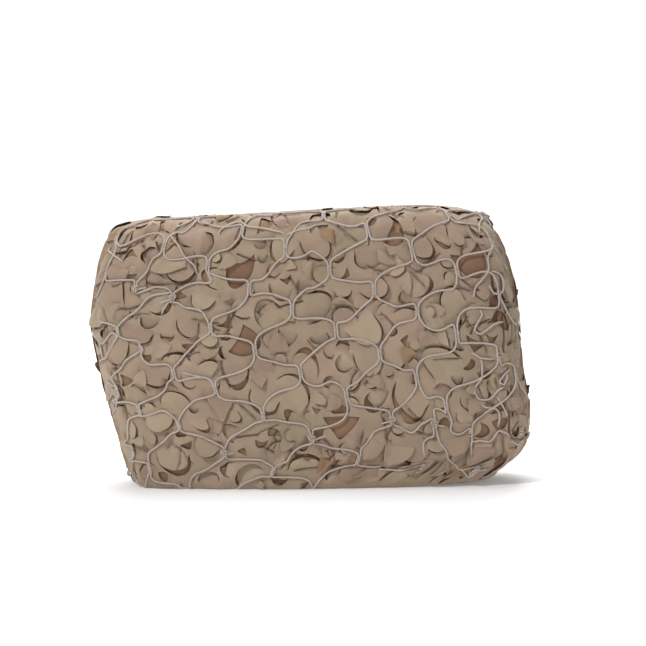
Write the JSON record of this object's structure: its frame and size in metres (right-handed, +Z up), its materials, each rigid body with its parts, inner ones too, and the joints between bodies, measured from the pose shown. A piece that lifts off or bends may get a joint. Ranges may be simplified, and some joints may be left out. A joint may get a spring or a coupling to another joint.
{
  "type": "folded camouflage netting",
  "caption": "Desert camouflage netting folded into a bundle: tan leaf-cut garnish cloth under a knotless cord net.",
  "frame": {"origin": "on the floor, under the middle of the box round the bundle", "axes": "+X along the bundle, left to right as seen from its front, +Y from its front to its back, +Z up; it stands on its long edge"},
  "size_m": [0.5115, 0.1397, 0.318],
  "materials": {
    "garnish_cloth": "matte",
    "cord": "matte"
  },
  "bodies": {
    "root": {"garnish_cloth": "garnish_cloth", "cord_net": "cord", "tie_1": "cord", "tie_2": "cord", "tie_3": "cord", "tie_4": "cord", "tie_5": "cord", "tie_6": "cord", "tie_7": "cord", "tie_8": "cord"}
  },
  "joints": []
}
